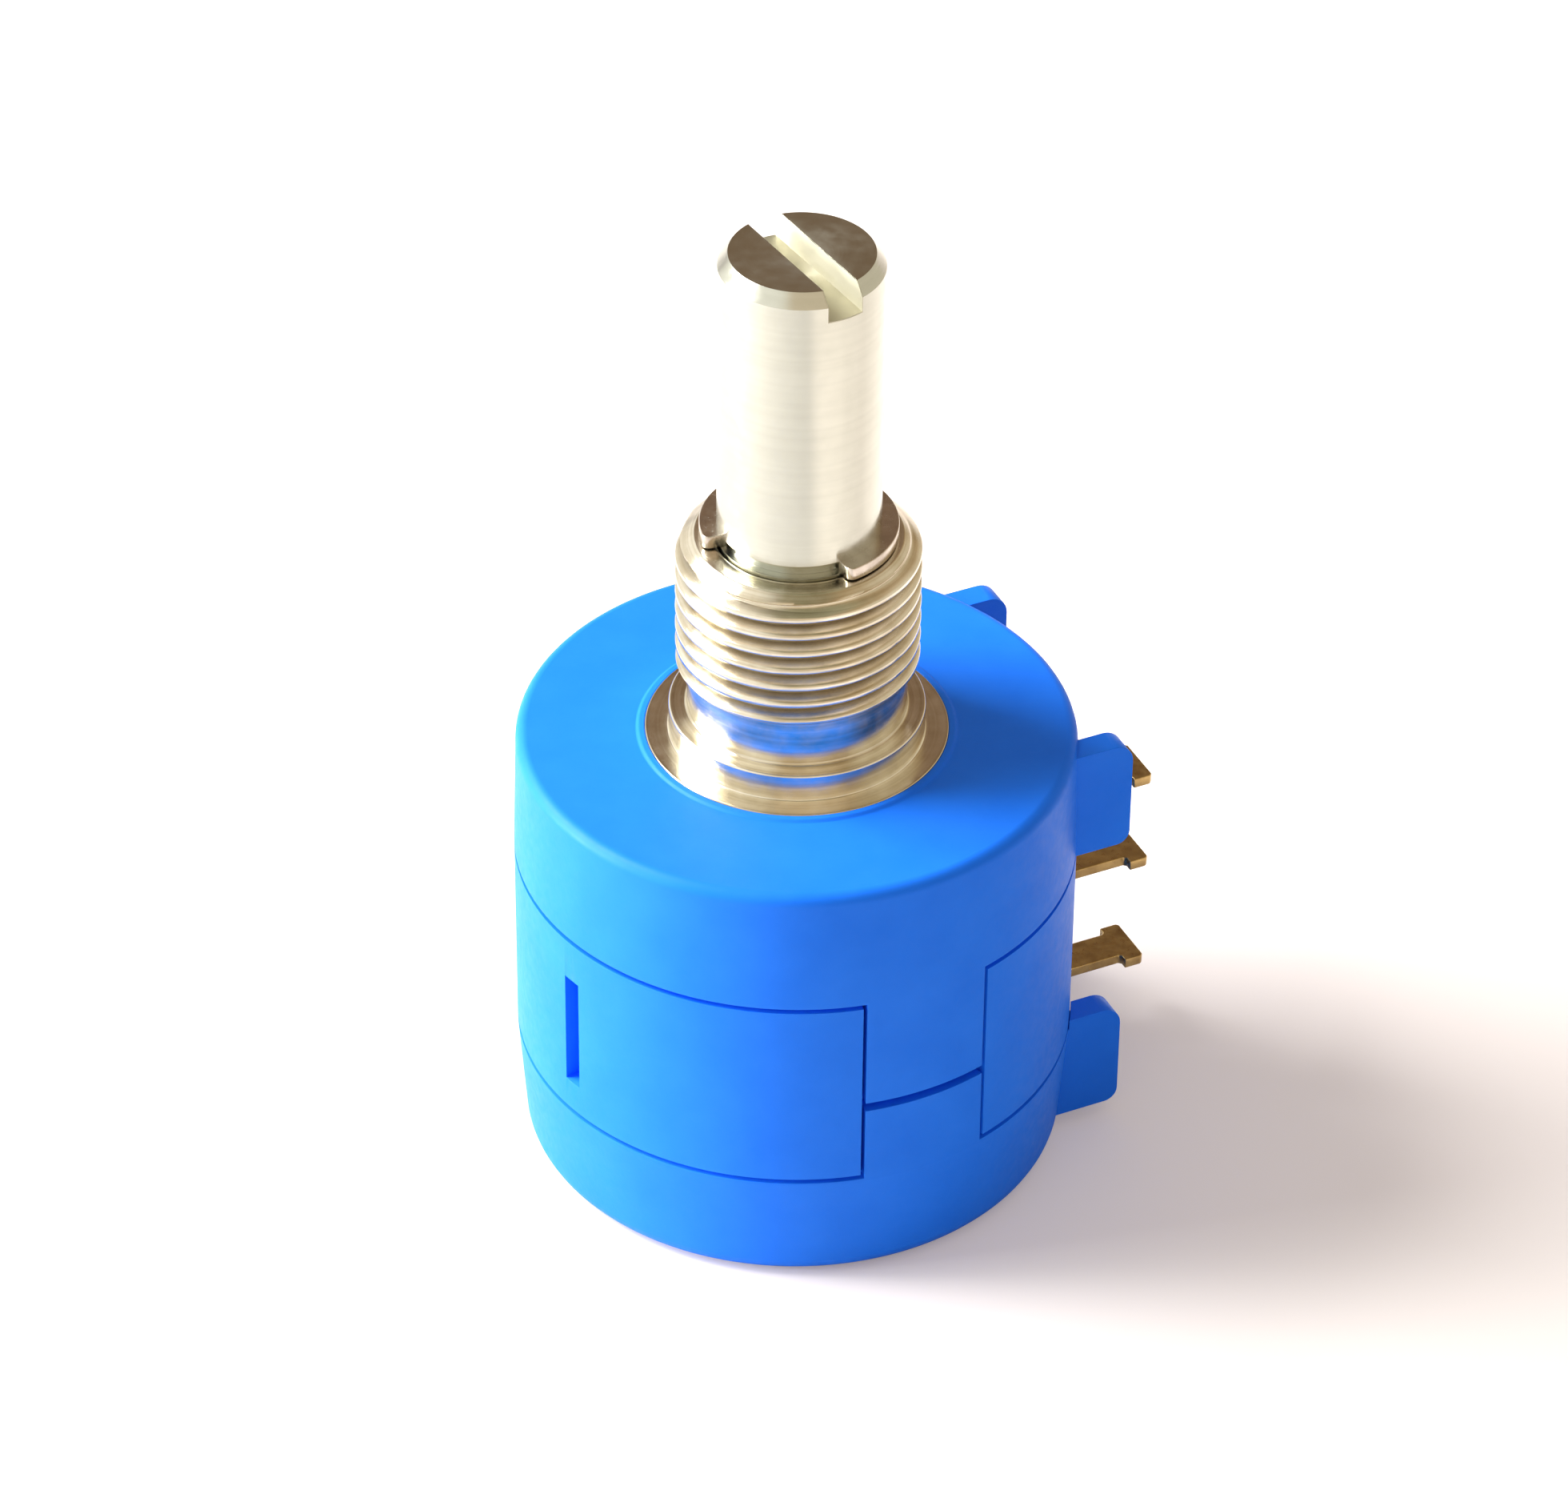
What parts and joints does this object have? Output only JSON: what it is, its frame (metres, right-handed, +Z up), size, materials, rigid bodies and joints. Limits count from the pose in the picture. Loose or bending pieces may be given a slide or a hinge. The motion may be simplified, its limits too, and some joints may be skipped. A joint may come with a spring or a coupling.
{
  "type": "multi-turn potentiometer",
  "caption": "Wirewound precision potentiometer with a moulded round body, threaded panel bushing, slotted shaft, side solder lugs between fins, and a carriage that follows a helical element.",
  "frame": {"origin": "centre of the rear face, on the shaft's axis", "axes": "+Z runs up the shaft from the rear face to the shaft's end; +X runs through the first fin of each lid, and the terminals lie between +X and +Y"},
  "size_m": [0.0255, 0.0222, 0.0409],
  "materials": {
    "body_plastic": "satin blue moulded thermoset plastic",
    "plated_bushing": "bright nickel plating over turned brass",
    "plated_shaft": "bright nickel plating over a turned steel shaft",
    "ring_steel": "spring steel, dull",
    "inner_plastic": "natural moulded nylon",
    "element_wire": "resistance wire wound close on an insulated core",
    "lead_metal": "thin nickel strip",
    "lug_brass": "gold-flashed brass lug, slightly dulled",
    "contact_metal": "precious-metal plated contact spring"
  },
  "bodies": {
    "housing": {"front_lid": "body_plastic", "housing_band": "body_plastic", "rear_lid": "body_plastic", "bushing": "plated_bushing", "resistance_element": "element_wire", "front_element_clip": "lead_metal", "rear_element_clip": "lead_metal", "front_lead_ribbon": "lead_metal", "rear_lead_ribbon": "lead_metal", "front_terminal": "lug_brass", "middle_terminal": "lug_brass", "rear_terminal": "lug_brass", "collector_brush": "contact_metal"},
    "rotor": {"shaft": "plated_shaft", "retaining_ring": "ring_steel", "rotor": "inner_plastic", "thrust_washer": "ring_steel", "slip_ring": "contact_metal", "collector_rail": "contact_metal"},
    "carriage": {"wiper_carriage": "inner_plastic", "wiper_contact": "contact_metal"}
  },
  "joints": [
    {"name": "shaft_turn", "type": "hinge", "parent": "housing", "child": "rotor", "pos_m": [0, 0, 0], "axis": [0, 0, 1], "range_deg": [-1755, 1845]},
    {"name": "carriage_travel", "type": "slide", "parent": "rotor", "child": "carriage", "axis": [0, 0, 1], "range_m": [-0.00619, 0.00651]}
  ],
  "couplings": [
    {"joint": "carriage_travel", "follows": "shaft_turn", "m_per_rad": 0.00020213}
  ]
}
